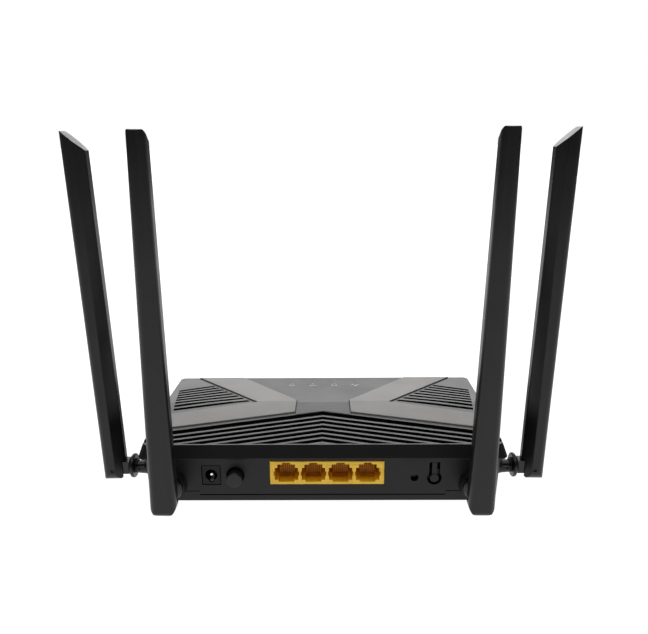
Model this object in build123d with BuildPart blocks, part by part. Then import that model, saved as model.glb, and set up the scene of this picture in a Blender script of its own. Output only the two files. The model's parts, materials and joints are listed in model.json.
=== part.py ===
"""Wireless router with four hinged antennas, as an assembly of separate moulded and metal pieces.

Frame: millimetres. X runs to the right seen from behind, +Y points to the front, +Z is up.
The origin is on the table under the middle of the whole object's box.
"""
from build123d import *
import math
import os

os.makedirs("parts", exist_ok=True)

# ---------------------------------------------------------------- driving dimensions
rear_y = -36.5           # outer face of the jack panel
band_y = -38.5           # lower edge of the cover's overhanging band
front_y = 56.9           # front edge of the case at its waist
seam_z = 26.4            # lower edge of the cover
waist_z = 27.5           # widest level of the case
rear_lip_y = -36.1       # top of the band, which leans inwards as the sides do
rear_lip_z = 34.0
ridge_y = 9.5            # low roof ridge, parallel to X
ridge_z = 37.0
front_lip_y = 54.6
front_lip_z = 33.9
waist_half = 94.5        # half widths of the case
lip_half = 91.8          # at side_lip_z
side_lip_z = 35.5
rim = 0.9                # plain edge of the roof behind the ribs
wall = 2.0
roof_wall = 2.8
corner_r = 3.0
slip = 0.15              # gap round an inlaid piece

floor_z = 2.0            # underside of the tray, on the feet
floor_t = 2.0
tray_low_half = 90.7
tray_top_half = 91.7
tray_low_front = 51.6
tray_top_front = 54.1
sill_z = 5.2             # top of the tray's rear sill
step_x = 64.0            # where that sill steps up
step_z = 7.4
shadow_gap = 0.6         # between sill and panel
panel_half = 88.4
panel_t = 2.0

board_top = 11.6
board_t = 1.6
board_half = 72.0
board_rear = -34.0
board_front = 46.0

jack_x = 2.4             # middle of the four-port jack
jack_w = 58.9
jack_h = 13.4
jack_depth = 16.5
jack_proud = 0.4
ports = 4
port_pitch = 13.97
port_depth = 13.0
contacts = 8
contact_pitch = 1.02

dc_x = -57.5
dc_z = 16.9
dc_w = 9.2
dc_h = 10.6
dc_depth = 14.0
dc_gap = 0.4             # open joint round the inlet's housing
dc_bore_r = 3.15
power_x = -45.0
power_z = 16.6
power_r = 4.0
power_hole_r = 4.7
power_proud = 5.0
reset_x = 47.5
reset_z = 15.2
reset_r = 2.05
wps_x = 57.7
wps_z = 15.0
wps_root_z = 24.0
wps_pad_r = 2.3
wps_ring_r = 3.8
wps_tongue_half = 1.3
wps_slot_half = 2.75

stub_z = 12.0            # height of every antenna stub
rear_stub_x = 78.2
side_stub_y = -17.7
side_boss_end = 102.2    # X where a side boss meets its swivel
stub_r = 2.5
bore_r = 2.56
rear_stub_length = 8.7
side_stub_length = 16.8
clip_from_end = 2.65     # from the inner end of a stub to its clip
rear_left_turn = 0.9     # degrees that the antennas stand off upright
rear_right_turn = 0.4
side_fold = 1.0
pin_t = 11.3             # from the boss end to the elbow pin, along the stub
pin_r = 1.0
blade_near = 5.1         # from the boss end to the blade's inner edge
blade_far = 16.7         # from the boss end to the blade's blunt face
crease_t = 10.0          # where the blade's flanks begin to close
blade_low = -6.9         # heights along the blade, from the pin
blade_high = 177.0
blade_slant = 10.0
blade_w_low = 13.2
blade_w_high = 8.4
edge_w_low = 3.2         # width of the blade's inner edge
edge_w_high = 5.0
blunt_r = 3.4            # rounding of the blunt side
heel_r = 6.0             # rounding of the lower end
tip_r = 1.5
hair = 0.02              # keeps the outlines that round the blade off its own faces
rear_boss_proud = front_y + rear_y - blade_far + hair  # puts the origin in the middle, front to rear
slot_r = 4.1             # clearance in the blade round the tongue's end
hollow_low = 8.0         # the blade's hollow, for its radiator
hollow_high = 158.0
hollow_near = 9.0
hollow_far = 15.0
hollow_walls = 3.6       # the blade is wider than its hollow by this
radiator_low = 15.0
radiator_high = 145.0
radiator_w = 4.6
radiator_t = 0.8
tongue_half = 3.0
tongue_r = 3.65

led_y = 42.3
led_xs = [-19.8, -6.6, 6.6, 19.8]
rib_slope = 0.257        # fall of the chevron ribs towards the sides
rib_pitch = 4.57
ribs = 8
first_groove_y = -4.3    # middle of the first groove, on the centre line
groove_w = 3.0
groove_depth = 1.9
trim_groove = (-1.2, -3.4)   # widens the groove beside the trims; front and rear, on the centre line
vents = 8
first_vent_y = 32.6      # front edge of the first vent, at vent_outer
vent_slopes = (0.46, 0.27)   # the vents fan out a little, from the first to the last
vent_pitch = 4.3
vent_w = 2.6
screw_spots = [(-68, -27), (68, -27), (-66, 46.5), (66, 46.5)]
boss_low = 20.0
board_spots = [(-66, -8), (66, -8), (-66, 40), (66, 40)]

# Plan points of the inlaid trim on the right, and of the panel between the trims.
inlay_front = 53.4
trim_points = [
    (15.2, 11.6), (15.5, -3.0), (94.0, -22.9), (94.0, -7.9),
    (38.2, 9.1), (80.3, inlay_front), (51.3, inlay_front)]
panel_points = [
    (50.9, inlay_front), (14.9, 11.7), (15.2, -3.0), (15.2, -4.9), (0, -0.9),
    (-15.2, -4.9), (-15.2, -3.0), (-14.9, 11.7), (-50.9, inlay_front)]

rib_field = [
    (0, -1.4), (15.8, -5.5), (100, -27.4), (100, rear_lip_y + rim),
    (-100, rear_lip_y + rim), (-100, -27.4), (-15.8, -5.5)]
vent_outer = 84.0        # X at which the vents are set out
vent_field = [(40.7, 9.5), (69.6, 40.2), (88.6, 32.8), (84.0, -4.3)]


# ---------------------------------------------------------------- shared shapes
def label_and_save(builder, name):
    """Name a finished piece and write it."""
    builder.part.label = name
    export_step(builder.part, f"parts/{name}.step")


def roof_z(y):
    """Height of the roof surface at a place along Y."""
    if y <= ridge_y:
        return rear_lip_z + (y - rear_lip_y) * (ridge_z - rear_lip_z) / (ridge_y - rear_lip_y)
    return ridge_z + (y - ridge_y) * (front_lip_z - ridge_z) / (front_lip_y - ridge_y)


def roof_layer(low, high):
    """The layer between two surfaces parallel to the roof, over the whole case."""
    back = band_y - 12
    ahead = front_y + 12
    with BuildPart() as layer:
        with BuildSketch(Plane.YZ):
            Polygon(
                (back, roof_z(back) + low), (ridge_y, ridge_z + low), (ahead, roof_z(ahead) + low),
                (ahead, roof_z(ahead) + high), (ridge_y, ridge_z + high), (back, roof_z(back) + high),
                align=None)
        extrude(amount=110, both=True)
    return layer.part


def case_outline(half, back, ahead, radius):
    """Plan outline of the case at one level."""
    with Locations((0, (back + ahead) / 2)):
        RectangleRounded(2 * half, ahead - back, radius)


def blade_width(level):
    """Width of the blade at a height above its pin."""
    return blade_w_low + (blade_w_high - blade_w_low) * (level - blade_low) / (blade_high - blade_low)


def on_side(side, points):
    """Plan points of the right-hand piece (1), or mirrored to the left (-1)."""
    return [(side * x, y) for x, y in points]


def rear_plane(y):
    """A plane facing the rear, with X to the right and Z up."""
    return Plane.XZ.offset(-y)


def chevron(front, rear):
    """One V-shaped stripe right across the case, from its two places on the centre line."""
    reach = 100
    fall = rib_slope * reach
    return Polygon(
        (0, front), (reach, front - fall), (reach, rear - fall),
        (0, rear), (-reach, rear - fall), (-reach, front - fall), align=None)


def vent_stripes(side):
    """Side vent slots, the last of them parallel to the trim's lower arm."""
    inwards = 60
    outwards = 10
    first_slope, last_slope = vent_slopes
    for k in range(vents):
        slope = first_slope + (last_slope - first_slope) * k / (vents - 1)
        middle = first_vent_y - vent_pitch * k
        inner = middle + slope * inwards
        outer = middle - slope * outwards
        Polygon(*on_side(side, [
            (vent_outer + outwards, outer), (vent_outer - inwards, inner),
            (vent_outer - inwards, inner - vent_w), (vent_outer + outwards, outer - vent_w)]), align=None)


# ---------------------------------------------------------------- top cover
cover_top = 39.5
rise = cover_top - waist_z
side_lean = (waist_half - lip_half) / (side_lip_z - waist_z) * rise
rear_lean = (rear_lip_y - band_y) / (rear_lip_z - waist_z) * rise
front_lean = (front_y - front_lip_y) / (front_lip_z - waist_z) * rise
inner_r = 1.5
skirt_draft = 0.5        # the cover draws in by this below its waist

with BuildPart() as cover_hollow:
    with BuildSketch(Plane.XY.offset(seam_z - 1)):
        case_outline(waist_half - wall, band_y + wall, front_y - wall, inner_r)
    extrude(amount=waist_z - seam_z + 1)
    with BuildSketch(Plane.XY.offset(waist_z)):
        case_outline(waist_half - wall, band_y + wall, front_y - wall, inner_r)
    with BuildSketch(Plane.XY.offset(cover_top)):
        case_outline(waist_half - side_lean - wall, band_y + rear_lean + wall,
                     front_y - front_lean - wall, inner_r)
    loft()
    add(roof_layer(-60, -roof_wall), mode=Mode.INTERSECT)

with BuildPart() as cover_silhouette:
    with BuildSketch(Plane.XY.offset(waist_z)):
        case_outline(waist_half, band_y, front_y, corner_r)
    with BuildSketch(Plane.XY.offset(cover_top)):
        case_outline(waist_half - side_lean, band_y + rear_lean, front_y - front_lean, corner_r)
    loft()

with BuildPart() as cover_shell:
    add(cover_silhouette.part)
    with BuildSketch(Plane.XY.offset(seam_z)):
        case_outline(waist_half - skirt_draft, band_y + skirt_draft, front_y - skirt_draft, corner_r)
    with BuildSketch(Plane.XY.offset(waist_z)):
        case_outline(waist_half, band_y, front_y, corner_r)
    loft()
    add(roof_layer(-60, 0), mode=Mode.INTERSECT)
    add(cover_hollow.part, mode=Mode.SUBTRACT)
    # screw bosses hanging from the roof
    with BuildSketch(Plane.XY.offset(boss_low)):
        with Locations(*screw_spots):
            Circle(3.2)
    extrude(amount=14)
    with BuildSketch(Plane.XY.offset(boss_low)):
        with Locations(*screw_spots):
            Circle(1.4)
    extrude(amount=9, mode=Mode.SUBTRACT)
    # light pipe holes
    with BuildSketch(Plane.XY.offset(28)):
        with Locations(*[(x, led_y) for x in led_xs]):
            Circle(1.15)
    extrude(amount=12, mode=Mode.SUBTRACT)

with BuildPart() as cover_inlay_pockets:
    with BuildSketch(Plane.XY.offset(28)):
        for side in (-1, 1):
            Polygon(*on_side(side, trim_points), align=None)
        Polygon(*panel_points, align=None)
        offset(amount=slip, kind=Kind.INTERSECTION)
    extrude(amount=20)
    add(roof_layer(-1.2, 10), mode=Mode.INTERSECT)

with BuildPart() as cover_chevrons:
    with BuildSketch(Plane.XY.offset(28)):
        for k in range(ribs):
            groove_y = first_groove_y - rib_pitch * k
            add(chevron(groove_y + groove_w / 2, groove_y - groove_w / 2))
        add(chevron(*trim_groove))
        Polygon(*rib_field, align=None, mode=Mode.INTERSECT)
    extrude(amount=20)
    add(roof_layer(-groove_depth, 10), mode=Mode.INTERSECT)

with BuildPart() as cover_side_vents:
    for side in (-1, 1):
        with BuildSketch(Plane.XY.offset(28)):
            vent_stripes(side)
            Polygon(*on_side(side, vent_field), align=None, mode=Mode.INTERSECT)
        extrude(amount=20)

with BuildPart() as top_cover:
    add(cover_shell.part)
    add(cover_inlay_pockets.part, mode=Mode.SUBTRACT)
    add(cover_chevrons.part, mode=Mode.SUBTRACT)
    add(cover_side_vents.part, mode=Mode.SUBTRACT)
label_and_save(top_cover, "top_cover")

# ---------------------------------------------------------------- inlaid trims and panel
for side, name in ((-1, "left_trim"), (1, "right_trim")):
    with BuildPart() as trim:
        with BuildSketch(Plane.XY.offset(28)):
            Polygon(*on_side(side, trim_points), align=None)
        extrude(amount=20)
        add(roof_layer(-1.2, 0.8), mode=Mode.INTERSECT)
        add(cover_silhouette.part, mode=Mode.INTERSECT)
        chamfer(trim.faces().filter_by(lambda f: f.normal_at().Z > 0.9).edges().filter_by(
            lambda e: abs(e.center().Y - ridge_y) > 1.5 or abs(e.tangent_at(0.5).Z) > 0.02), 0.3)
    label_and_save(trim, name)

with BuildPart() as centre_panel:
    with BuildSketch(Plane.XY.offset(28)):
        Polygon(*panel_points, align=None)
    extrude(amount=20)
    add(roof_layer(-1.2, 0.1), mode=Mode.INTERSECT)
    add(cover_silhouette.part, mode=Mode.INTERSECT)
    with BuildSketch(Plane.XY.offset(28)):
        with Locations(*[(x, led_y) for x in led_xs]):
            Circle(0.9)
    extrude(amount=12, mode=Mode.SUBTRACT)
label_and_save(centre_panel, "centre_panel")

# ---------------------------------------------------------------- bottom tray
spigot_r = 4.2           # the side sockets' spigots, through the tray's walls
socket_slip = 0.02
with BuildPart() as bottom_tray:
    with BuildSketch(Plane.XY.offset(floor_z)):
        case_outline(tray_low_half, rear_y, tray_low_front, corner_r)
    with BuildSketch(Plane.XY.offset(waist_z)):
        case_outline(tray_top_half, rear_y, tray_top_front, corner_r)
    loft()
    with BuildSketch(Plane.XY.offset(floor_z + floor_t)):
        case_outline(tray_low_half - wall, rear_y + wall, tray_low_front - wall, 1.5)
    with BuildSketch(Plane.XY.offset(waist_z)):
        case_outline(tray_top_half - wall, rear_y + wall, tray_top_front - wall, 1.5)
    loft(mode=Mode.SUBTRACT)
    # opening for the jack panel, with its stepped sill
    with BuildSketch(rear_plane(rear_y - 1)):
        Polygon(
            (-step_x, sill_z), (step_x, sill_z), (step_x, step_z), (panel_half + 0.2, step_z),
            (panel_half + 0.2, 40), (-panel_half - 0.2, 40), (-panel_half - 0.2, step_z), (-step_x, step_z),
            align=None)
    extrude(amount=-(wall + 1.2), mode=Mode.SUBTRACT)
    # holes that take the spigots of the side sockets
    with BuildSketch(Plane.YZ):
        with Locations((side_stub_y, stub_z)):
            Circle(spigot_r + socket_slip)
    extrude(amount=110, both=True, mode=Mode.SUBTRACT)
    # screw posts, with recesses for the heads underneath
    with BuildSketch(Plane.XY.offset(floor_z)):
        with Locations(*screw_spots):
            Circle(3.6)
    extrude(amount=boss_low - floor_z)
    with BuildSketch(Plane.XY.offset(floor_z)):
        with Locations(*screw_spots):
            Circle(1.6)
    extrude(amount=boss_low, mode=Mode.SUBTRACT)
    with BuildSketch(Plane.XY.offset(floor_z)):
        with Locations(*screw_spots):
            Circle(2.8)
    extrude(amount=3.0, mode=Mode.SUBTRACT)
    # board standoffs
    with BuildSketch(Plane.XY.offset(floor_z + floor_t)):
        with Locations(*board_spots):
            Circle(2.6)
    extrude(amount=board_top - board_t - floor_z - floor_t)
    with BuildSketch(Plane.XY.offset(floor_z + floor_t)):
        with Locations(*board_spots):
            Circle(1.1)
    extrude(amount=10, mode=Mode.SUBTRACT)
    # air slots through the floor
    with BuildSketch(Plane.XY.offset(floor_z - 1)):
        with GridLocations(6.0, 30.0, 17, 2):
            SlotOverall(22, 1.8, rotation=90)
    extrude(amount=floor_t + 2, mode=Mode.SUBTRACT)
label_and_save(bottom_tray, "bottom_tray")

# ---------------------------------------------------------------- side sockets
# Each carries an outer antenna: a boss and three webs outside the tray's wall, a spigot through it.
tray_draft = (tray_top_half - tray_low_half) / (waist_z - floor_z)
socket_face = 0.02       # the sockets stand off the wall by this
socket_mid = 97.0        # X where the boss turns slimmer
socket_top = 23.5
web_t = 1.1
web_pitch = 2.2
web_low = 13.0
spigot_end = 87.9
dimple = (99.6, 4.6)     # X of a small dimple in the boss, and its distance from the axis

for side, name in ((-1, "left_socket"), (1, "right_socket")):
    with BuildPart() as socket:
        with BuildSketch(Plane.YZ.offset(side * (tray_low_half - 1))):
            with Locations((side_stub_y, stub_z)):
                Circle(6.0)
        with BuildSketch(Plane.YZ.offset(side * socket_mid)):
            with Locations((side_stub_y, stub_z)):
                Circle(4.3)
        with BuildSketch(Plane.YZ.offset(side * side_boss_end)):
            with Locations((side_stub_y, stub_z)):
                Circle(3.9)
        loft(ruled=True)
        with BuildSketch(Plane.XZ.offset(-side_stub_y)) as web:
            Polygon(*on_side(side, [
                (tray_low_half - 1, socket_top), (tray_low_half - 1, web_low), (side_boss_end - 0.8, web_low),
                (side_boss_end - 0.8, 18.6), (side_boss_end - 2.6, 19.6)]), align=None)
        for shift in (-web_pitch, 0, web_pitch):
            extrude(web.sketch.moved(Location((0, shift, 0))), amount=web_t / 2, both=True)
        # cut back to the tray's sloping wall
        with BuildSketch(Plane.XZ.offset(-side_stub_y)):
            Polygon(*on_side(side, [
                (80, 0), (tray_low_half + socket_face - floor_z * tray_draft, 0),
                (tray_top_half + socket_face, waist_z), (80, waist_z)]), align=None)
        extrude(amount=10, both=True, mode=Mode.SUBTRACT)
        with BuildSketch(Plane.YZ.offset(side * spigot_end)):
            with Locations((side_stub_y, stub_z)):
                Circle(spigot_r)
        extrude(amount=side * (socket_mid - spigot_end))
        with BuildSketch(Plane.YZ.offset(side * 80)):
            with Locations((side_stub_y, stub_z)):
                Circle(bore_r)
        extrude(amount=side * 30, mode=Mode.SUBTRACT)
        with Locations(Plane(origin=(side * dimple[0], side_stub_y - dimple[1], stub_z), z_dir=(0, -1, 0))):
            Hole(0.5, depth=1.2)
    label_and_save(socket, name)

# ---------------------------------------------------------------- jack panel
panel_top = 27.2
panel_low = sill_z + shadow_gap

with BuildPart() as rear_panel:
    with BuildSketch(rear_plane(rear_y + panel_t)):
        Polygon(
            (-step_x + 0.1, panel_low), (step_x - 0.1, panel_low), (step_x - 0.1, step_z + 0.4),
            (panel_half, step_z + 0.4), (panel_half, panel_top), (-panel_half, panel_top),
            (-panel_half, step_z + 0.4), (-step_x + 0.1, step_z + 0.4), align=None)
    extrude(amount=panel_t)
    # tongue behind the sill
    with BuildSketch(rear_plane(rear_y + panel_t + 1.2)):
        Polygon((-70, 4.3), (70, 4.3), (70, 9.6), (-70, 9.6), align=None)
    extrude(amount=1.2)
    # bosses that carry the rear antennas
    for side in (-1, 1):
        with BuildSketch(rear_plane(rear_y)):
            with Locations((side * rear_stub_x, stub_z)):
                Circle(8.2)
        with BuildSketch(rear_plane(rear_y - rear_boss_proud)):
            with Locations((side * rear_stub_x, stub_z)):
                Circle(7.0)
        loft()
    with BuildSketch(rear_plane(rear_y + panel_t + 1.2)):
        with Locations((-rear_stub_x, stub_z), (rear_stub_x, stub_z)):
            Circle(bore_r)
    extrude(amount=20, mode=Mode.SUBTRACT)
    with BuildSketch(rear_plane(rear_y + panel_t + 1.2)):
        # jack windows
        with Locations((jack_x, board_top + jack_h / 2)):
            Rectangle(jack_w + 0.3, jack_h + 0.3)
        with Locations((dc_x, dc_z)):
            Rectangle(dc_w + 2 * dc_gap, dc_h + 2 * dc_gap)
        # power button, reset pin and push tongue
        with Locations((power_x, power_z)):
            Circle(power_hole_r)
        with Locations((reset_x, reset_z)):
            Circle(reset_r)
        with Locations((wps_x, wps_z)):
            Circle(wps_ring_r)
        with Locations((wps_x, (wps_z + wps_root_z) / 2)):
            Rectangle(2 * wps_slot_half, wps_root_z - wps_z)
    extrude(amount=10, mode=Mode.SUBTRACT)
label_and_save(rear_panel, "rear_panel")

# The push tongue hangs from its root and carries a round pad with a nub behind it.
tongue_t = 1.4
with BuildPart() as wps_button:
    with BuildSketch(rear_plane(rear_y + tongue_t)):
        with Locations((wps_x, (wps_z + wps_root_z) / 2)):
            Rectangle(2 * wps_tongue_half, wps_root_z - wps_z - 0.24)
        with Locations((wps_x, wps_z)):
            Circle(wps_pad_r)
    extrude(amount=tongue_t)
    with BuildSketch(rear_plane(rear_y)):
        with Locations((wps_x, wps_z)):
            Circle(wps_pad_r)
    extrude(amount=0.25)
    with BuildSketch(rear_plane(rear_y + 2.0)):
        with Locations((wps_x, wps_z)):
            Circle(0.8)
    extrude(amount=0.8)
    fillet(wps_button.faces().sort_by(Axis.Y)[0].edges(), 0.15)
label_and_save(wps_button, "wps_button")

power_back = -34.0
power_length = power_back - (rear_y - power_proud)
with BuildPart() as power_button:
    with BuildSketch(rear_plane(power_back)):
        with Locations((power_x, power_z)):
            Circle(power_r)
    extrude(amount=power_length)
    fillet(power_button.faces().sort_by(Axis.Y)[0].edges(), 0.5)
    with BuildSketch(rear_plane(power_back)):
        with Locations((power_x, power_z)):
            Rectangle(3.4, 3.4)
    extrude(amount=-5.5)
label_and_save(power_button, "power_button")

# ---------------------------------------------------------------- main board and what stands on it
with BuildPart() as main_board:
    with BuildSketch(Plane.XY.offset(board_top - board_t)):
        with Locations((0, (board_rear + board_front) / 2)):
            RectangleRounded(2 * board_half, board_front - board_rear, 2)
        with Locations(*board_spots):
            Circle(1.6, mode=Mode.SUBTRACT)
        with Locations(*screw_spots):
            Circle(4.2, mode=Mode.SUBTRACT)
    extrude(amount=board_t)
label_and_save(main_board, "main_board")

port_xs = [jack_x + (k - (ports - 1) / 2) * port_pitch for k in range(ports)]
port_floor = 13.15
# height above the port's floor and width of each step of its opening
port_steps = [(0, 8.1), (1.1, 12.1), (3.45, 13.2), (6.0, 12.0), (8.0, 9.2), (10.0, 4.2), (11.0, 4.2)]
jack_face = rear_y - jack_proud

with BuildPart() as lan_jack_housing:
    with BuildSketch(rear_plane(jack_face + jack_depth)):
        with Locations((jack_x, board_top + jack_h / 2)):
            Rectangle(jack_w, jack_h)
    extrude(amount=jack_depth)
    chamfer(lan_jack_housing.faces().sort_by(Axis.Y)[0].edges(), 0.3)
    for x in port_xs:
        for (low, width), (high, _) in zip(port_steps, port_steps[1:]):
            with BuildSketch(rear_plane(jack_face + port_depth)):
                with Locations((x, port_floor + (low + high) / 2)):
                    Rectangle(width, high - low)
            extrude(amount=port_depth, mode=Mode.SUBTRACT)
label_and_save(lan_jack_housing, "lan_jack_housing")

# comb block at the back of each port, which the contacts lean on
comb_w = 8.8
with BuildPart() as lan_contact_combs:
    for x in port_xs:
        with BuildSketch(Plane.YZ.offset(x - comb_w / 2)):
            Polygon(
                (jack_face + port_depth, port_floor + 1.1), (jack_face + 7.4, port_floor + 1.1),
                (jack_face + port_depth - 1.2, port_floor + 6.9),
                (jack_face + port_depth, port_floor + 6.9), align=None)
        extrude(amount=comb_w)
label_and_save(lan_contact_combs, "lan_contact_combs")

with BuildPart() as lan_contacts:
    for x in port_xs:
        for k in range(contacts):
            with BuildSketch(Plane.YZ.offset(x + (k - (contacts - 1) / 2) * contact_pitch - 0.23)):
                Polygon(
                    (jack_face + 5.2, port_floor + 0.45), (jack_face + 7.1, port_floor + 1.1),
                    (jack_face + port_depth - 1.5, port_floor + 6.9),
                    (jack_face + port_depth - 2.0, port_floor + 6.9),
                    (jack_face + 6.75, port_floor + 1.45), (jack_face + 5.1, port_floor + 0.9), align=None)
            extrude(amount=0.46)
label_and_save(lan_contacts, "lan_contacts")

with BuildPart() as dc_jack_housing:
    with BuildSketch(rear_plane(rear_y + dc_depth + 0.2)):
        with Locations((dc_x, dc_z)):
            Rectangle(dc_w, dc_h)
    extrude(amount=dc_depth)
    with BuildSketch(rear_plane(rear_y + 10.2)):
        with Locations((dc_x, dc_z)):
            Circle(dc_bore_r)
        with Locations((dc_x, dc_z - dc_bore_r)):
            Rectangle(2.6, 1.6)
    extrude(amount=12, mode=Mode.SUBTRACT)
    with BuildSketch(rear_plane(rear_y + 12.2)):
        with Locations((dc_x, dc_z)):
            Circle(1.0)
    extrude(amount=4, mode=Mode.SUBTRACT)
label_and_save(dc_jack_housing, "dc_jack_housing")

with BuildPart() as dc_jack_pin:
    with BuildSketch(rear_plane(rear_y + 12.2)):
        with Locations((dc_x, dc_z)):
            Circle(1.0)
    extrude(amount=11.4)
    fillet(dc_jack_pin.faces().sort_by(Axis.Y)[0].edges(), 0.6)
label_and_save(dc_jack_pin, "dc_jack_pin")

with BuildPart() as dc_jack_spring:
    with BuildSketch(Plane.YZ.offset(dc_x - 1.1)):
        Polygon(
            (rear_y + 1.4, dc_z - 3.7), (rear_y + 4.2, dc_z - 2.3), (rear_y + 10.2, dc_z - 3.45),
            (rear_y + 10.2, dc_z - 3.85), (rear_y + 4.2, dc_z - 2.75), (rear_y + 1.4, dc_z - 3.9), align=None)
    extrude(amount=2.2)
label_and_save(dc_jack_spring, "dc_jack_spring")

with BuildPart() as power_switch:
    with BuildSketch(rear_plane(-19.5)):
        with Locations((power_x, power_z)):
            Rectangle(8.4, 2 * (power_z - board_top))
    extrude(amount=12)
    with BuildSketch(rear_plane(-25.3)):
        with Locations((power_x, power_z)):
            Rectangle(3.6, 3.6)
    extrude(amount=12, mode=Mode.SUBTRACT)
label_and_save(power_switch, "power_switch")

# tact switches behind the reset hole and the push tongue, with their plungers
# (the push tongue carries its plunger, which tilts a little, so its switch has a wider bore)
for name, x, z, plunger_y, switch_bore_r in (
        ("reset", reset_x, reset_z, -33.6, 1.55), ("wps", wps_x, wps_z, rear_y + 2.05, 1.95)):
    with BuildPart() as switch:
        with BuildSketch(rear_plane(-29.0)):
            with Locations((x, (board_top + 18.2) / 2)):
                Rectangle(6.2, 18.2 - board_top)
        extrude(amount=4.0)
        with BuildSketch(rear_plane(-30.2)):
            with Locations((x, z)):
                Circle(switch_bore_r)
        extrude(amount=4.0, mode=Mode.SUBTRACT)
    label_and_save(switch, f"{name}_switch")
    with BuildPart() as plunger:
        with BuildSketch(rear_plane(-31.2)):
            with Locations((x, z)):
                Circle(1.5)
        extrude(amount=-31.2 - plunger_y)
    label_and_save(plunger, f"{name}_plunger")

processor_x = -8.0
processor_y = 12.0
with BuildPart() as processor:
    with BuildSketch(Plane.XY.offset(board_top)):
        with Locations((processor_x, processor_y)):
            Rectangle(16, 16)
    extrude(amount=1.4)
label_and_save(processor, "processor")

with BuildPart() as heat_sink:
    with BuildSketch(Plane.XY.offset(board_top + 1.4)):
        with Locations((processor_x, processor_y)):
            Rectangle(30, 30)
    extrude(amount=2.0)
    with BuildSketch(Plane.XY.offset(board_top + 3.4)):
        with Locations((processor_x, processor_y)):
            with GridLocations(3.6, 1, 9, 1):
                Rectangle(1.0, 30)
    extrude(amount=7.0)
label_and_save(heat_sink, "heat_sink")

with BuildPart() as shield_can:
    with BuildSketch(Plane.XY.offset(board_top)):
        with Locations((34, 14)):
            Rectangle(38, 30)
    extrude(amount=3.4)
    with BuildSketch(Plane.XY.offset(board_top)):
        with Locations((34, 14)):
            Rectangle(37.2, 29.2)
    extrude(amount=3.0, mode=Mode.SUBTRACT)
label_and_save(shield_can, "shield_can")

with BuildPart() as lan_transformers:
    with BuildSketch(Plane.XY.offset(board_top)):
        with Locations((jack_x - 15, -12), (jack_x + 15, -12)):
            Rectangle(18, 8)
    extrude(amount=5.2)
label_and_save(lan_transformers, "lan_transformers")

with BuildPart() as capacitors:
    with BuildSketch(Plane.XY.offset(board_top)):
        with Locations((-54, -14), (-44, -11), (-52, 3)):
            Circle(4.0)
    extrude(amount=11)
    fillet(capacitors.faces().filter_by(Axis.Z).group_by(Axis.Z)[-1].edges(), 0.6)
label_and_save(capacitors, "capacitors")

with BuildPart() as status_leds:
    with BuildSketch(Plane.XY.offset(board_top)):
        with Locations(*[(x, led_y) for x in led_xs]):
            Rectangle(1.6, 0.9)
    extrude(amount=0.8)
label_and_save(status_leds, "status_leds")

with BuildPart() as light_pipes:
    with BuildSketch(Plane.XY.offset(board_top + 1.1)):
        with Locations(*[(x, led_y) for x in led_xs]):
            Circle(0.9)
    extrude(amount=30)
    add(roof_layer(-60, 0.1), mode=Mode.INTERSECT)
label_and_save(light_pipes, "light_pipes")

# ---------------------------------------------------------------- feet and screws
with BuildPart() as rubber_feet:
    with BuildSketch(Plane.XY):
        with Locations((-74, -24), (74, -24), (-74, 36), (74, 36)):
            Circle(5.0)
    extrude(amount=floor_z)
    chamfer(rubber_feet.faces().filter_by(Axis.Z).group_by(Axis.Z)[0].edges(), 0.5)
label_and_save(rubber_feet, "rubber_feet")

with BuildPart() as case_screws:
    with BuildSketch(Plane.XY.offset(floor_z + 1.2)):
        with Locations(*screw_spots):
            Circle(2.5)
    extrude(amount=1.8)
    with BuildSketch(Plane.XY.offset(floor_z + 3.0)):
        with Locations(*screw_spots):
            Circle(1.38)
    extrude(amount=22)
    with BuildSketch(Plane.XY.offset(floor_z + 1.2)):
        with Locations(*screw_spots):
            Rectangle(3.0, 0.7)
            Rectangle(0.7, 3.0)
    extrude(amount=1.0, mode=Mode.SUBTRACT)
label_and_save(case_screws, "case_screws")

with BuildPart() as board_screws:
    with BuildSketch(Plane.XY.offset(board_top)):
        with Locations(*board_spots):
            Circle(2.4)
    extrude(amount=1.5)
    with BuildSketch(Plane.XY.offset(board_top)):
        with Locations(*board_spots):
            Circle(1.08)
    extrude(amount=-5.5)
label_and_save(board_screws, "board_screws")

# ---------------------------------------------------------------- antennas
# An antenna is drawn in frames of three directions: u across the blade, w up, t along its stub.
pin_half = 6.1           # half the length of an elbow pin
pin_slip = 0.04
tongue_slip = 0.3


def leaning(degrees):
    """The upward direction of an antenna that is turned to the right by some degrees."""
    return Vector(math.sin(math.radians(degrees)), 0, math.cos(math.radians(degrees)))


rear_end_y = rear_y - rear_boss_proud
# name: end of the boss, t, w, degrees folded outwards, length of the stub
antennas = {
    "rear_left": (Vector(-rear_stub_x, rear_end_y, stub_z), Vector(0, -1, 0),
                  leaning(rear_left_turn), 0, rear_stub_length),
    "rear_right": (Vector(rear_stub_x, rear_end_y, stub_z), Vector(0, -1, 0),
                   leaning(rear_right_turn), 0, rear_stub_length),
    "side_left": (Vector(-side_boss_end, side_stub_y, stub_z), Vector(-1, 0, 0),
                  Vector(0, 0, 1), side_fold, side_stub_length),
    "side_right": (Vector(side_boss_end, side_stub_y, stub_z), Vector(1, 0, 0),
                   Vector(0, 0, 1), side_fold, side_stub_length),
}


def blade_section(origin, u, w, level, width, edge, edge_round):
    """Cross-section of the blade: blunt outside, closing to an edge towards the case."""
    with BuildSketch(Plane(origin=origin + w * level, x_dir=u, z_dir=w)) as section:
        Polygon(
            (-width / 2, -blade_far), (width / 2, -blade_far), (width / 2, -crease_t),
            (edge / 2, -blade_near), (-edge / 2, -blade_near), (-width / 2, -crease_t), align=None)
        fillet(section.vertices().group_by(Axis.Y)[0], blunt_r)
        fillet(section.vertices().group_by(Axis.Y)[-1], edge_round)
    return section.sketch


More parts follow.
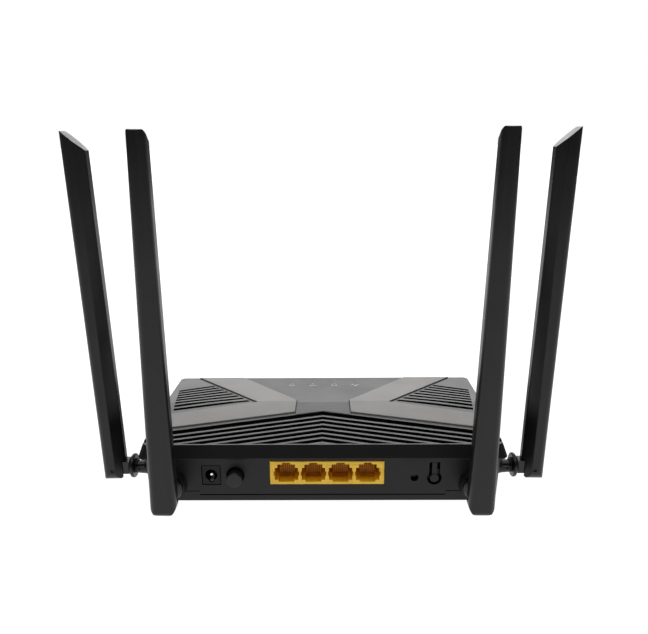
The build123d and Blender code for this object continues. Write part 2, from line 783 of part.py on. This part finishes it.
for name, (origin, t, w, folded, stub_length) in antennas.items():
    u = w.cross(t)
    across = Plane(origin=origin, x_dir=u, z_dir=t)
    along = Plane(origin=origin, x_dir=t, z_dir=-u)
    pin_axis = Plane(origin=origin + t * pin_t, x_dir=t, z_dir=-u)
    clip_at = stub_length - clip_from_end

    with BuildPart() as swivel:
        with BuildSketch(along):
            Polygon(
                (-stub_length, 0), (-stub_length, stub_r), (0.25, stub_r), (0.25, 6.1), (0.65, 6.5),
                (1.7, 6.5), (2.0, 6.3), (3.2, 4.6), (3.2, 0), align=None)
        revolve(axis=Axis(origin, t))
        with BuildSketch(along):
            Polygon((3.0, -tongue_r), (pin_t, -tongue_r), (pin_t, tongue_r), (3.0, tongue_r), align=None)
            with Locations((pin_t, 0)):
                Circle(tongue_r)
        extrude(amount=tongue_half, both=True)
        with BuildSketch(pin_axis):
            Circle(pin_r)
        extrude(amount=10, both=True, mode=Mode.SUBTRACT)
        # bore for the lead, and the groove that the clip sits in
        with BuildSketch(across.offset(-stub_length)):
            Circle(1.1)
        extrude(amount=stub_length + 2.0, mode=Mode.SUBTRACT)
        with BuildSketch(across.offset(-clip_at - 1.2)):
            Circle(stub_r + 1)
            Circle(2.0, mode=Mode.SUBTRACT)
        extrude(amount=0.9, mode=Mode.SUBTRACT)
    label_and_save(swivel, f"{name}_swivel")

    with BuildPart() as clip:
        with BuildSketch(across.offset(-clip_at - 1.15)):
            Circle(4.2)
            Circle(2.0, mode=Mode.SUBTRACT)
            with Locations((0, -3)):
                Rectangle(2.4, 6, mode=Mode.SUBTRACT)
        extrude(amount=0.8)
    label_and_save(clip, f"{name}_clip")

    with BuildPart() as pin:
        with BuildSketch(pin_axis):
            Circle(pin_r)
        extrude(amount=pin_half, both=True)
    label_and_save(pin, f"{name}_hinge_pin")

    # the blade's own frame, folded about the pin
    fold = math.radians(folded)
    blade_t = t * math.cos(fold) - w * math.sin(fold)
    blade_w = w * math.cos(fold) + t * math.sin(fold)
    blade_origin = pin_axis.origin - blade_t * pin_t
    blade_across = Plane(origin=blade_origin, x_dir=u, z_dir=blade_t)
    blade_along = Plane(origin=blade_origin, x_dir=blade_t, z_dir=-u)

    with BuildPart() as blade:
        add(blade_section(blade_origin, u, blade_w, blade_low, blade_w_low, edge_w_low, 1.2))
        add(blade_section(blade_origin, u, blade_w, blade_high, blade_w_high, edge_w_high, 0.5))
        loft()
        # rounded lower end, seen from both sides, and the slanted tip
        with BuildSketch(blade_across) as front_view:
            half_low = blade_w_low / 2 - hair
            half_high = blade_w_high / 2 - hair
            Polygon((-half_low, blade_low), (half_low, blade_low), (half_high, blade_high),
                    (-half_high, blade_high), align=None)
            fillet(front_view.vertices().group_by(Axis.Y)[0], heel_r)
            fillet(front_view.vertices().group_by(Axis.Y)[-1], tip_r)
        extrude(amount=40, mode=Mode.INTERSECT)
        with BuildSketch(blade_along.offset(-20)) as side_view:
            Polygon(
                (blade_near + hair, blade_low), (blade_far - hair, blade_low),
                (blade_far - hair, blade_high), (blade_near + hair, blade_high - blade_slant), align=None)
            fillet(side_view.vertices().group_by(Axis.Y)[0].sort_by(Axis.X)[0], heel_r)
            fillet(side_view.vertices().group_by(Axis.Y)[0].sort_by(Axis.X)[-1], heel_r / 2)
            fillet(side_view.vertices().sort_by(Axis.Y)[-1], tip_r / 2)
        extrude(amount=40, mode=Mode.INTERSECT)
        # hollow for the radiator
        for level in (hollow_low, hollow_high):
            width = blade_width(level) - hollow_walls
            with BuildSketch(Plane(origin=blade_origin + blade_w * level, x_dir=u, z_dir=blade_w)):
                with Locations((0, -(hollow_near + hollow_far) / 2)):
                    Rectangle(width, hollow_far - hollow_near)
        loft(mode=Mode.SUBTRACT)
        # slot for the swivel's tongue, open to the case and at the lower end
        with BuildSketch(blade_along) as slot:
            Polygon(
                (blade_near - 3, blade_low - 3), (pin_t + slot_r, blade_low - 3),
                (pin_t + slot_r, slot_r), (blade_near - 3, slot_r), align=None)
            fillet(slot.vertices().sort_by(Axis.Y)[-2:].sort_by(Axis.X)[-1],
                   slot_r - 0.01)
        extrude(amount=tongue_half + tongue_slip, both=True, mode=Mode.SUBTRACT)
        with BuildSketch(pin_axis):
            Circle(pin_r + pin_slip)
        extrude(amount=10, both=True, mode=Mode.SUBTRACT)

    with BuildPart() as outer_shell:
        add(blade.part)
        split(bisect_by=blade_across.offset(crease_t), keep=Keep.TOP)
    label_and_save(outer_shell, f"{name}_blade_outer")
    with BuildPart() as inner_shell:
        add(blade.part)
        split(bisect_by=blade_across.offset(crease_t), keep=Keep.BOTTOM)
    label_and_save(inner_shell, f"{name}_blade_inner")

    with BuildPart() as radiator:
        with BuildSketch(blade_across.offset(hollow_far - radiator_t)):
            with Locations((0, (radiator_low + radiator_high) / 2)):
                Rectangle(radiator_w, radiator_high - radiator_low)
        extrude(amount=radiator_t)
    label_and_save(radiator, f"{name}_radiator")

# ---------------------------------------------------------------- leads from the board to the stubs
lead_r = 0.6
lead_z = board_top + lead_r + 0.3
rear_stub_end = rear_end_y + rear_stub_length
side_stub_end = side_boss_end - side_stub_length
with BuildPart() as antenna_leads:
    for side in (-1, 1):
        routes = [
            [(rear_stub_x, rear_stub_end + 0.3, stub_z), (rear_stub_x, rear_stub_end + 7, stub_z),
             (72.5, -19, 12.7), (62, -19, lead_z)],
            [(side_stub_end - 0.3, side_stub_y, stub_z), (80.5, side_stub_y, stub_z),
             (76, -6, 12.7), (69, 0, lead_z), (61, 0, lead_z)],
        ]
        for route in routes:
            points = [(side * x, y, z) for x, y, z in route]
            with BuildLine() as lead_path:
                FilletPolyline(*points, radius=3.0)
            with BuildSketch(Plane(origin=lead_path.line @ 0, z_dir=lead_path.line % 0)):
                Circle(lead_r)
            sweep(path=lead_path.line)
            with BuildSketch(Plane.XY.offset(board_top)):
                with Locations(points[-1][0:2]):
                    Circle(1.4)
            extrude(amount=2.2)
label_and_save(antenna_leads, "antenna_leads")
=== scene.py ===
"""Studio picture of the wireless router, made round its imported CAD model.

Everything is in metres, in the frame shared with the CAD: +X to the right seen from behind, +Y to the
front, +Z up.
"""
import json
import math

import bmesh
import bpy
from mathutils import Matrix, Vector


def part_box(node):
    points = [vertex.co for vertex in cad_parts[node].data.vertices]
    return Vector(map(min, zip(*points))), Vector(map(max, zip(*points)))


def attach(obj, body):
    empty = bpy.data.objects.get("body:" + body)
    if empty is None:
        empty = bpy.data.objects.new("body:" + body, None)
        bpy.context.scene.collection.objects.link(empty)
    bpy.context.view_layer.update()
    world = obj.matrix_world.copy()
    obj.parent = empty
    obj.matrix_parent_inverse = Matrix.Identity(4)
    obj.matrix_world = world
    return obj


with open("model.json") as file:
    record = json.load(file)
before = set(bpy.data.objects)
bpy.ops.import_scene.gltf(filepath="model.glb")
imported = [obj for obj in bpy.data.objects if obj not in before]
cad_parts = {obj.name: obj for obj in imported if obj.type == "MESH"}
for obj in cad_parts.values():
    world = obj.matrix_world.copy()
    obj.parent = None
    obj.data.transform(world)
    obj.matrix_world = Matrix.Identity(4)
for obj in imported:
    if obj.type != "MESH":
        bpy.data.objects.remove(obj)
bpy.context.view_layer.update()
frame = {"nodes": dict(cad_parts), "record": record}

MM = 0.001
nodes = frame["nodes"]
scene = bpy.context.scene


# ---------------------------------------------------------------- node helpers
class Graph:
    """A material's node tree, with short calls for the nodes that the finishes below share."""

    def __init__(self, name):
        self.material = bpy.data.materials.new(name)
        self.material.use_nodes = True
        self.tree = self.material.node_tree
        self.tree.nodes.clear()
        self.output = self.node("ShaderNodeOutputMaterial")
        self.shader = self.node("ShaderNodeBsdfPrincipled")
        self.link(self.shader.outputs["BSDF"], self.output.inputs["Surface"])
        self.place = self.node("ShaderNodeTexCoord").outputs["Object"]

    def node(self, kind, **settings):
        """A new node of a kind, with its properties set."""
        made = self.tree.nodes.new(kind)
        for key, value in settings.items():
            setattr(made, key, value)
        return made

    def link(self, source, target):
        """Feed a socket from another one, or set it to a value."""
        if hasattr(source, "is_output"):
            self.tree.links.new(source, target)
        else:
            target.default_value = source

    def constants(self, **values):
        """Shader sockets that are the same all over the surface."""
        for key, value in values.items():
            self.shader.inputs[key.replace("_", " ")].default_value = value

    def math(self, kind, a, b=0.0, c=0.0):
        """A sum, product and the like of sockets or numbers."""
        made = self.node("ShaderNodeMath", operation=kind)
        for socket, value in zip(made.inputs, (a, b, c)):
            self.link(value, socket)
        return made.outputs[0]

    def mix(self, share, low, high):
        """A colour between low and high."""
        made = self.node("ShaderNodeMix", data_type="RGBA")
        self.link(share, made.inputs[0])
        self.link(low, made.inputs[6])
        self.link(high, made.inputs[7])
        return made.outputs[2]

    def span(self, value, low, high, to_low=0.0, to_high=1.0):
        """Value moved from the range low..high to another, with a soft start and end."""
        made = self.node("ShaderNodeMapRange", interpolation_type="SMOOTHSTEP")
        self.link(value, made.inputs[0])
        for k, number in enumerate((low, high, to_low, to_high)):
            made.inputs[k + 1].default_value = number
        return made.outputs[0]

    def noise(self, size, detail=2.0, stretch=(1, 1, 1), rough=0.5):
        """Soft noise whose features are about that size, in metres."""
        mapping = self.node("ShaderNodeMapping")
        mapping.inputs["Scale"].default_value = stretch
        self.link(self.place, mapping.inputs["Vector"])
        made = self.node("ShaderNodeTexNoise")
        made.inputs["Scale"].default_value = 1 / size
        made.inputs["Detail"].default_value = detail
        made.inputs["Roughness"].default_value = rough
        self.link(mapping.outputs[0], made.inputs["Vector"])
        return made.outputs["Fac"]

    def cells(self, size):
        """Pebbled cells of about that size, in metres."""
        made = self.node("ShaderNodeTexVoronoi", feature="SMOOTH_F1")
        made.inputs["Scale"].default_value = 1 / size
        self.link(self.place, made.inputs["Vector"])
        return made.outputs["Distance"]

    def axes(self):
        """The object's own X, Y and Z at each point."""
        made = self.node("ShaderNodeSeparateXYZ")
        self.link(self.place, made.inputs[0])
        return made.outputs

    def facing(self):
        """The X, Y and Z of the surface's own normal, in the object's frame."""
        coordinates = self.node("ShaderNodeTexCoord")
        made = self.node("ShaderNodeSeparateXYZ")
        self.link(coordinates.outputs["Normal"], made.inputs[0])
        return made.outputs

    def rounded(self, radius):
        """The normal with its edges rounded, and how near an edge each point is."""
        bevel = self.node("ShaderNodeBevel", samples=6)
        bevel.inputs["Radius"].default_value = radius
        flat = self.node("ShaderNodeNewGeometry")
        dot = self.node("ShaderNodeVectorMath", operation="DOT_PRODUCT")
        self.link(bevel.outputs[0], dot.inputs[0])
        self.link(flat.outputs["Normal"], dot.inputs[1])
        edge = self.span(dot.outputs["Value"], 0.80, 0.995, 1.0, 0.0)
        return bevel.outputs[0], edge

    def bump(self, height, depth, normal=None):
        """A normal that follows a height, up to that depth in metres."""
        made = self.node("ShaderNodeBump")
        made.inputs["Strength"].default_value = 1.0
        made.inputs["Distance"].default_value = depth
        self.link(height, made.inputs["Height"])
        if normal is not None:
            self.link(normal, made.inputs["Normal"])
        return made.outputs[0]

    def shade(self, colour, roughness, normal=None):
        """The finished material, from its colour, roughness and normal."""
        self.link(colour, self.shader.inputs["Base Color"])
        self.link(roughness, self.shader.inputs["Roughness"])
        if normal is not None:
            self.link(normal, self.shader.inputs["Normal"])
        return self.material


def grey(value, warm=0.0):
    """A neutral colour, a little warmer or cooler."""
    return (value * (1 + warm), value, value * (1 - warm), 1)


def scaled(colour, factor):
    """A colour made lighter or darker."""
    return tuple(c * factor for c in colour[:3]) + (1,)


# ---------------------------------------------------------------- finishes
def moulded(name, colour, edge_highlight, rough=0.42, grain=0.35 * MM, edge=0.22 * MM, specular=0.5):
    """Moulded plastic: a spark-eroded grain, faint flow mottling, and paler edges that are partly wear and
    partly a painted highlight.
    """
    g = Graph(name)
    g.constants(Specular_IOR_Level=specular)
    pebble = g.cells(grain)
    fine = g.noise(grain * 0.6, detail=3)
    flow = g.noise(14 * MM, detail=3)
    normal, near_edge = g.rounded(edge)
    # painted highlight: the edges are made unevenly paler, standing for wear and for the light that edges
    # catch
    wear_and_highlight = g.math("MULTIPLY", near_edge, g.span(g.noise(3 * MM, detail=4), 0.35, 0.7, 0.35, 0.5))
    speckle = g.span(fine, 0.3, 0.7, 0.0, 0.35)
    tone = g.mix(speckle, colour, scaled(colour, 1.5))
    tone = g.mix(wear_and_highlight, tone, edge_highlight)
    height = g.math("ADD", g.math("MULTIPLY", pebble, 0.7), g.math("MULTIPLY", fine, 0.6))
    roughness = g.math("ADD", g.span(flow, 0.3, 0.7, rough - 0.03, rough + 0.04),
                       g.math("MULTIPLY", near_edge, -0.06))
    return g.shade(tone, roughness, g.bump(height, 0.012 * MM, normal))


def cover_with_painted_light(name):
    """The cover: roof faces and rib tops painted lighter as if lit, with a painted near-black shade in the
    grooves and on the skirt; satin on top, matt below.
    """
    g = Graph(name)
    g.constants(Specular_IOR_Level=0.5)
    normal, near_edge = g.rounded(0.2 * MM)
    facing = g.facing()
    _, y, z = g.axes()
    looks_up = g.span(facing[2], 0.9, 0.985)
    # how far a point lies below the roof, which is two slopes that meet at the ridge
    ridge_y, ridge_z = ROOF["ridge"]
    ahead = g.math("SUBTRACT", y, ridge_y)
    fall_rear = g.math("MULTIPLY", ahead, ROOF["rear_slope"])
    fall_front = g.math("MULTIPLY", ahead, ROOF["front_slope"])
    surface = g.math("ADD", g.math("MINIMUM", fall_rear, fall_front), ridge_z)
    below = g.math("SUBTRACT", surface, z)
    # painted light: faces that look up and lie at the roof take a lighter, lit tone, while the grooves and
    # skirt below take a near-black painted shade
    painted_lit_top = g.math("MULTIPLY", looks_up, g.span(below, 0.25 * MM, 0.6 * MM, 1.0, 0.0))
    fine = g.noise(0.22 * MM, detail=3)
    flow = g.noise(16 * MM, detail=3)
    lit_top_tone = g.mix(g.span(fine, 0.3, 0.7), grey(0.11), grey(0.14))
    painted_shade_tone = g.mix(g.span(fine, 0.3, 0.7), grey(0.004), grey(0.008))
    tone = g.mix(painted_lit_top, painted_shade_tone, lit_top_tone)
    # painted highlight: the edges are mixed towards a paler grey
    tone = g.mix(g.math("MULTIPLY", near_edge, 0.35), tone, grey(0.16))
    gloss = g.span(flow, 0.3, 0.7, 0.36, 0.42)
    roughness = g.math("ADD", gloss, g.math("MULTIPLY", g.math("SUBTRACT", 1.0, painted_lit_top), 0.16))
    g.link(g.math("MULTIPLY_ADD", painted_lit_top, 0.30, 0.20), g.shader.inputs["Specular IOR Level"])
    return g.shade(tone, roughness, g.bump(fine, 0.006 * MM, normal))


def satin_trim(name, colour, edge_highlight):
    """Grey trim: fine metallic-look film over plastic, with a faint orange peel and a painted highlight
    along its edges.
    """
    g = Graph(name)
    g.constants(Specular_IOR_Level=0.6, Coat_Weight=0.15, Coat_Roughness=0.35)
    fine = g.noise(0.16 * MM, detail=4)
    flow = g.noise(20 * MM, detail=3)
    peel = g.noise(0.9 * MM, detail=2)
    normal, near_edge = g.rounded(0.18 * MM)
    tone = g.mix(g.span(fine, 0.35, 0.65), scaled(colour, 0.9), colour)
    # painted highlight: the edges are mixed towards a paler grey
    tone = g.mix(g.math("MULTIPLY", near_edge, 0.6), tone, edge_highlight)
    height = g.math("ADD", g.math("MULTIPLY", fine, 0.5), peel)
    return g.shade(tone, g.span(flow, 0.3, 0.7, 0.34, 0.40), g.bump(height, 0.007 * MM, normal))


def brushed_panel(name):
    """The middle panel: dark satin plastic with fine lines that run across it, and a painted highlight
    along its edges.
    """
    g = Graph(name)
    g.constants(Specular_IOR_Level=0.42)
    lines = g.noise(0.35 * MM, detail=3, stretch=(0.03, 1, 1))
    flow = g.noise(24 * MM, detail=3)
    normal, near_edge = g.rounded(0.15 * MM)
    tone = g.mix(g.span(lines, 0.3, 0.7), grey(0.045, -0.01), grey(0.075, -0.01))
    # painted highlight: the edges are mixed towards a paler grey
    tone = g.mix(g.math("MULTIPLY", near_edge, 0.4), tone, grey(0.2))
    return g.shade(tone, g.span(flow, 0.3, 0.7, 0.30, 0.36), g.bump(lines, 0.008 * MM, normal))


def nylon(name, colour, deep):
    """Glossy unfilled nylon, a little translucent, with flow marks and a painted highlight along its edges.
    """
    g = Graph(name)
    g.constants(Specular_IOR_Level=0.5, Subsurface_Weight=0.12, Subsurface_Scale=0.0015,
                Subsurface_Radius=(1.0, 0.5, 0.12))
    flow = g.noise(5 * MM, detail=3, stretch=(1, 1, 2.5))
    fine = g.noise(0.5 * MM, detail=3)
    normal, near_edge = g.rounded(0.15 * MM)
    tone = g.mix(g.span(flow, 0.35, 0.7, 0.0, 0.6), colour, deep)
    # painted highlight: the edges are mixed towards a bright yellow
    tone = g.mix(g.math("MULTIPLY", near_edge, 0.3), tone, (0.85, 0.6, 0.12, 1))
    return g.shade(tone, g.span(fine, 0.3, 0.7, 0.28, 0.38), g.bump(flow, 0.02 * MM, normal))


def plated(name, colour, rough=0.16):
    """Plated or bare metal, with fine drawing lines and small tarnish spots."""
    g = Graph(name)
    g.constants(Metallic=1.0)
    lines = g.noise(0.12 * MM, detail=2, stretch=(1, 0.08, 1))
    spots = g.noise(1.3 * MM, detail=5, rough=0.7)
    normal, _ = g.rounded(0.08 * MM)
    tone = g.mix(g.span(spots, 0.52, 0.72, 0.0, 0.5), colour, scaled(colour, 0.55))
    roughness = g.math("ADD", g.span(spots, 0.4, 0.7, rough, rough + 0.18),
                       g.math("MULTIPLY", lines, 0.045))
    return g.shade(tone, roughness, g.bump(lines, 0.003 * MM, normal))


def soft_rubber(name):
    """Matt foot rubber with dust in its pores, and a painted highlight along its edges."""
    g = Graph(name)
    g.constants(Specular_IOR_Level=0.25)
    pores = g.noise(0.4 * MM, detail=5, rough=0.65)
    dust = g.noise(2.5 * MM, detail=4)
    normal, near_edge = g.rounded(0.3 * MM)
    tone = g.mix(g.span(dust, 0.5, 0.75, 0.0, 0.35), grey(0.014), grey(0.06, 0.05))
    # painted highlight: the edges are mixed towards a paler grey
    tone = g.mix(g.math("MULTIPLY", near_edge, 0.3), tone, grey(0.05))
    return g.shade(tone, g.span(pores, 0.3, 0.7, 0.68, 0.85), g.bump(pores, 0.03 * MM, normal))


def solder_mask(name):
    """Green board: woven glass under the mask, and faint copper traces beneath it."""
    g = Graph(name)
    g.constants(Specular_IOR_Level=0.5, Coat_Weight=0.4, Coat_Roughness=0.2)
    weave = g.node("ShaderNodeTexWave", wave_type="BANDS", bands_direction="DIAGONAL")
    weave.inputs["Scale"].default_value = 700
    g.link(g.place, weave.inputs["Vector"])
    traces = g.noise(3 * MM, detail=1, stretch=(3, 0.35, 1))
    normal, near_edge = g.rounded(0.1 * MM)
    tone = g.mix(g.span(traces, 0.48, 0.52), (0.006, 0.07, 0.03, 1), (0.012, 0.13, 0.05, 1))
    tone = g.mix(near_edge, tone, (0.25, 0.23, 0.12, 1))
    height = g.math("ADD", g.math("MULTIPLY", weave.outputs["Fac"], 0.2), g.span(traces, 0.48, 0.52))
    return g.shade(tone, g.span(traces, 0.3, 0.7, 0.30, 0.38), g.bump(height, 0.02 * MM, normal))


def frosted(name):
    """Clear light pipe with a frosted end."""
    g = Graph(name)
    g.constants(Transmission_Weight=0.65, IOR=1.49, Specular_IOR_Level=0.5)
    fine = g.noise(0.2 * MM, detail=3)
    normal, _ = g.rounded(0.1 * MM)
    tone = g.mix(g.span(fine, 0.3, 0.7), (0.55, 0.57, 0.56, 1), (0.72, 0.74, 0.73, 1))
    return g.shade(tone, g.span(fine, 0.3, 0.7, 0.35, 0.55), g.bump(fine, 0.01 * MM, normal))


def printed(name):
    """Thin pad print, slightly uneven in its ink."""
    g = Graph(name)
    g.constants(Specular_IOR_Level=0.3)
    ink = g.noise(0.15 * MM, detail=4)
    tone = g.mix(g.span(ink, 0.35, 0.7), grey(0.55), grey(0.75))
    return g.shade(tone, g.span(ink, 0.3, 0.7, 0.5, 0.65), g.bump(ink, 0.004 * MM))


# ---------------------------------------------------------------- the roof, read from the frame
def roof_profile(cell=0.5 * MM, roof_drop=5 * MM):
    """The roof's ridge, rear edge and front edge as (y, z) points, from the cover's own mesh.

    The mesh's points are sorted into cells along Y. The roof is every cell whose top lies less than
    roof_drop below the ridge.
    """
    tops = {}
    for v in nodes["top_cover"].data.vertices:
        key = round(v.co.y / cell)
        tops[key] = max(tops.get(key, v.co.z), v.co.z)
    crest = max(tops, key=tops.get)
    roof = [k for k in tops if tops[k] > tops[crest] - roof_drop]
    return [(k * cell, tops[k]) for k in (crest, min(roof), max(roof))]


def slope(a, b):
    """Rise over run between two (y, z) points."""
    return (b[1] - a[1]) / (b[0] - a[0])


ridge_point, rear_point, front_point = roof_profile()
ROOF = {
    "ridge": ridge_point,
    "rear_slope": slope(rear_point, ridge_point),
    "front_slope": slope(ridge_point, front_point),
}


# ---------------------------------------------------------------- finishes by material slot
# the second colour given to moulded and satin_trim is the painted edge highlight, which in moulded also
# stands for wear
finishes = {
    "cover_plastic": cover_with_painted_light("cover_plastic_painted_light"),
    "case_plastic": moulded("case_plastic_grain", grey(0.006, 0.01), grey(0.03), rough=0.42,
                            specular=0.27),
    "trim_plastic": satin_trim("trim_plastic_satin", grey(0.18, 0.05), grey(0.40, 0.03)),
    "panel_plastic": brushed_panel("panel_plastic_lines"),
    "button_plastic": moulded("button_plastic_matt", grey(0.006), grey(0.04), rough=0.42, specular=0.35),
    "jack_yellow": nylon("jack_yellow_nylon", (0.90, 0.55, 0.022, 1), (0.74, 0.42, 0.014, 1)),
    "comb_plastic": moulded("comb_plastic_brown", (0.46, 0.19, 0.045, 1), (0.6, 0.3, 0.08, 1), rough=0.4),
    "contact_metal": plated("contact_metal_gold", (0.74, 0.48, 0.26, 1), rough=0.28),
    "jack_black": moulded("jack_black_gloss", grey(0.004), grey(0.02), rough=0.32, grain=0.2 * MM,
                          specular=0.2),
    "plated_metal": plated("plated_metal_nickel", (0.86, 0.85, 0.83, 1), rough=0.14),
    "plunger_plastic": moulded("plunger_plastic_black", grey(0.02), grey(0.05), rough=0.4),
    "circuit_board": solder_mask("circuit_board_mask"),
    "chip_black": moulded("chip_black_epoxy", grey(0.016), grey(0.06), rough=0.6, grain=0.15 * MM),
    "heat_sink_metal": plated("heat_sink_anodised", (0.52, 0.52, 0.54, 1), rough=0.35),
    "capacitor_sleeve": moulded("capacitor_sleeve_shrink", (0.012, 0.012, 0.03, 1), grey(0.1), rough=0.3),
    "led_body": moulded("led_body_white", grey(0.7), grey(0.8), rough=0.35, grain=0.1 * MM),
    "light_pipe": frosted("light_pipe_frosted"),
    "foot_rubber": soft_rubber("foot_rubber_matt"),
    "screw_steel": plated("screw_steel_zinc", (0.5, 0.5, 0.51, 1), rough=0.3),
    "lead_jacket": soft_rubber("lead_jacket_rubber"),
    "antenna_plastic": moulded("antenna_plastic_grain", grey(0.004, 0.01), grey(0.02), rough=0.32,
                               edge=0.35 * MM, specular=0.33),
    "swivel_plastic": moulded("swivel_plastic_satin", grey(0.006), grey(0.04), rough=0.34, specular=0.4),
    "spring_steel": plated("spring_steel_plain", (0.45, 0.45, 0.46, 1), rough=0.28),
    "pin_steel": plated("pin_steel_black", (0.03, 0.03, 0.032, 1), rough=0.45),
    "radiator_copper": plated("radiator_copper_foil", (0.78, 0.42, 0.26, 1), rough=0.25),
}

slot_of = {part["node"]: part["material_slot"] for part in frame["record"]["subparts"]}
for name, node in nodes.items():
    node.data.materials.clear()
    node.data.materials.append(finishes[slot_of[name]])


# ---------------------------------------------------------------- new objects
def add_object(name, data):
    """A new object in the scene, of a mesh, a light or a camera."""
    made = bpy.data.objects.new(name, data)
    scene.collection.objects.link(made)
    return made


def add_mesh(name, mesh, material):
    """A new object from a bmesh, which is used up."""
    data = bpy.data.meshes.new(name)
    mesh.to_mesh(data)
    mesh.free()
    data.materials.append(material)
    return add_object(name, data)


def join_rings(mesh, low, high):
    """Faces between two closed rings that have as many points."""
    for k in range(len(low)):
        n = (k + 1) % len(low)
        mesh.faces.new((low[k], low[n], high[n], high[k]))


# ---------------------------------------------------------------- printed marks over the lights
def flat_shape(outlines, thickness):
    """A thin mesh from closed outlines of (x, y) points."""
    mesh = bmesh.new()
    for outline in outlines:
        low = [mesh.verts.new((x, y, 0)) for x, y in outline]
        high = [mesh.verts.new((x, y, thickness)) for x, y in outline]
        mesh.faces.new(list(reversed(low)))
        mesh.faces.new(high)
        join_rings(mesh, low, high)
    return mesh


def bar(x, y, width, height):
    """A rectangle round its middle, as an outline."""
    half_w, half_h = width / 2, height / 2
    return [(x - half_w, y - half_h), (x + half_w, y - half_h),
            (x + half_w, y + half_h), (x - half_w, y + half_h)]


def arc_band(x, y, radius, width, start, stop, steps=14):
    """A band along part of a circle, angles in degrees."""
    angles = [math.radians(start + (stop - start) * k / steps) for k in range(steps + 1)]
    outer, inner = ([(x + r * math.cos(a), y + r * math.sin(a)) for a in angles]
                    for r in (radius + width / 2, radius - width / 2))
    return outer + list(reversed(inner))


line = 0.5 * MM
mark_thickness = 0.04 * MM
mark_lift = 0.02 * MM
mark_behind = 2.9 * MM       # from each light to the middle of its mark
marks = {
    "power_mark": [arc_band(0, 0, 1.5 * MM, line, -60, 240), bar(0, 1.2 * MM, line, 1.9 * MM)],
    "waves_mark": [arc_band(0, -1.5 * MM, r * MM, line, 40, 140) for r in (1.0, 2.1, 3.2)],
    "globe_mark": [arc_band(0, 0, 1.6 * MM, line, 0, 358), bar(0, 0, 2.7 * MM, line)],
    "link_mark": [bar(0, 1.2 * MM, 1.6 * MM, 1.2 * MM), bar(-1.6 * MM, -1.2 * MM, 1.4 * MM, 1.2 * MM),
                  bar(1.6 * MM, -1.2 * MM, 1.4 * MM, 1.2 * MM), bar(0, 0, line, 1.2 * MM)],
}
mark_print = printed("mark_print")

# The marks stand in a row behind the lights, on the middle panel, which falls from the ridge to the front.
pipe_low, pipe_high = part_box("light_pipes")
pipe_y = (pipe_low.y + pipe_high.y) / 2
pipe_r = (pipe_high.y - pipe_low.y) / 2
first_x = pipe_low.x + pipe_r
pipe_pitch = (pipe_high.x - pipe_low.x - 2 * pipe_r) / (len(marks) - 1)
mark_y = pipe_y - mark_behind
_, panel_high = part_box("centre_panel")
panel_z = panel_high.z + (mark_y - ROOF["ridge"][0]) * ROOF["front_slope"]
tilt = math.atan(ROOF["front_slope"])
for k, (name, outlines) in enumerate(marks.items()):
    mark = add_mesh(name, flat_shape(outlines, mark_thickness), mark_print)
    # read from the front of the router, so the marks are turned half a turn about Z
    mark.matrix_world = (Matrix.Translation((first_x + k * pipe_pitch, mark_y, panel_z + mark_lift))
                         @ Matrix.Rotation(tilt, 4, "X") @ Matrix.Rotation(math.pi, 4, "Z"))
    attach(mark, "case")


# ---------------------------------------------------------------- stage: floor, lights and camera
def stage_floor(radius=12.0, glow=1.0):
    """A wide white table, round so that it meets the white background evenly from every side."""
    mesh = bmesh.new()
    bmesh.ops.create_circle(mesh, cap_ends=True, segments=96, radius=radius)
    g = Graph("floor_white")
    g.constants(Specular_IOR_Level=0.1, Emission_Color=(1, 1, 1, 1), Emission_Strength=glow)
    floor = add_mesh("floor", mesh, g.shade(grey(0.25), 0.9))


def soft_light(name, place, aim, width, height, watts):
    """A softbox that faces a point and isn't itself seen."""
    data = bpy.data.lights.new(name, "AREA")
    data.shape = "RECTANGLE"
    data.size = width
    data.size_y = height
    data.energy = watts
    light = add_object(name, data)
    light.location = place
    light.rotation_euler = (Vector(aim) - Vector(place)).to_track_quat("-Z", "Y").to_euler()
    light.visible_camera = False


def dark_room(radius, low, high, sides=48):
    """Dark walls round the router, open above, that the camera doesn't see itself but in reflections."""
    mesh = bmesh.new()
    angles = [2 * math.pi * k / sides for k in range(sides)]
    low_ring, high_ring = ([mesh.verts.new((radius * math.cos(a), radius * math.sin(a), z)) for a in angles]
                           for z in (low, high))
    join_rings(mesh, low_ring, high_ring)
    g = Graph("room_dark")
    g.constants(Specular_IOR_Level=0.0)
    walls = add_mesh("room_walls", mesh, g.shade(grey(0.02), 1.0))
    walls.visible_camera = False


stage_floor()
world = bpy.data.worlds.new("studio")
world.use_nodes = True
background = world.node_tree.nodes["Background"]
background.inputs["Color"].default_value = (1, 1, 1, 1)
background.inputs["Strength"].default_value = 1.0
scene.world = world
scene.view_settings.view_transform = "Standard"

soft_light("roof_softbox", place=(0, 1.2, 0.61), aim=(0, 0, 0.03), width=1.9, height=0.62, watts=9.3)
soft_light("top_softbox", place=(0, -0.1, 1.3), aim=(0, 0, 0), width=1.2, height=1.0, watts=5)
dark_room(radius=1.7, low=0.02, high=2.4)

# The picture is taken from behind the router, at about the height of its antenna tips.
camera_place = (0.0051, -0.31967, 0.18481)
camera_yaw = 0.72            # degrees
camera_down = 16.34          # degrees below level
camera_roll = -0.5           # degrees

camera_data = bpy.data.cameras.new("camera")
camera_data.lens = 34.35
camera_data.sensor_width = 36
camera = add_object("camera", camera_data)
camera.matrix_world = (Matrix.Translation(camera_place)
                       @ Matrix.Rotation(math.radians(camera_yaw), 4, "Z")
                       @ Matrix.Rotation(math.radians(90 - camera_down), 4, "X")
                       @ Matrix.Rotation(math.radians(camera_roll), 4, "Z"))
scene.camera = camera
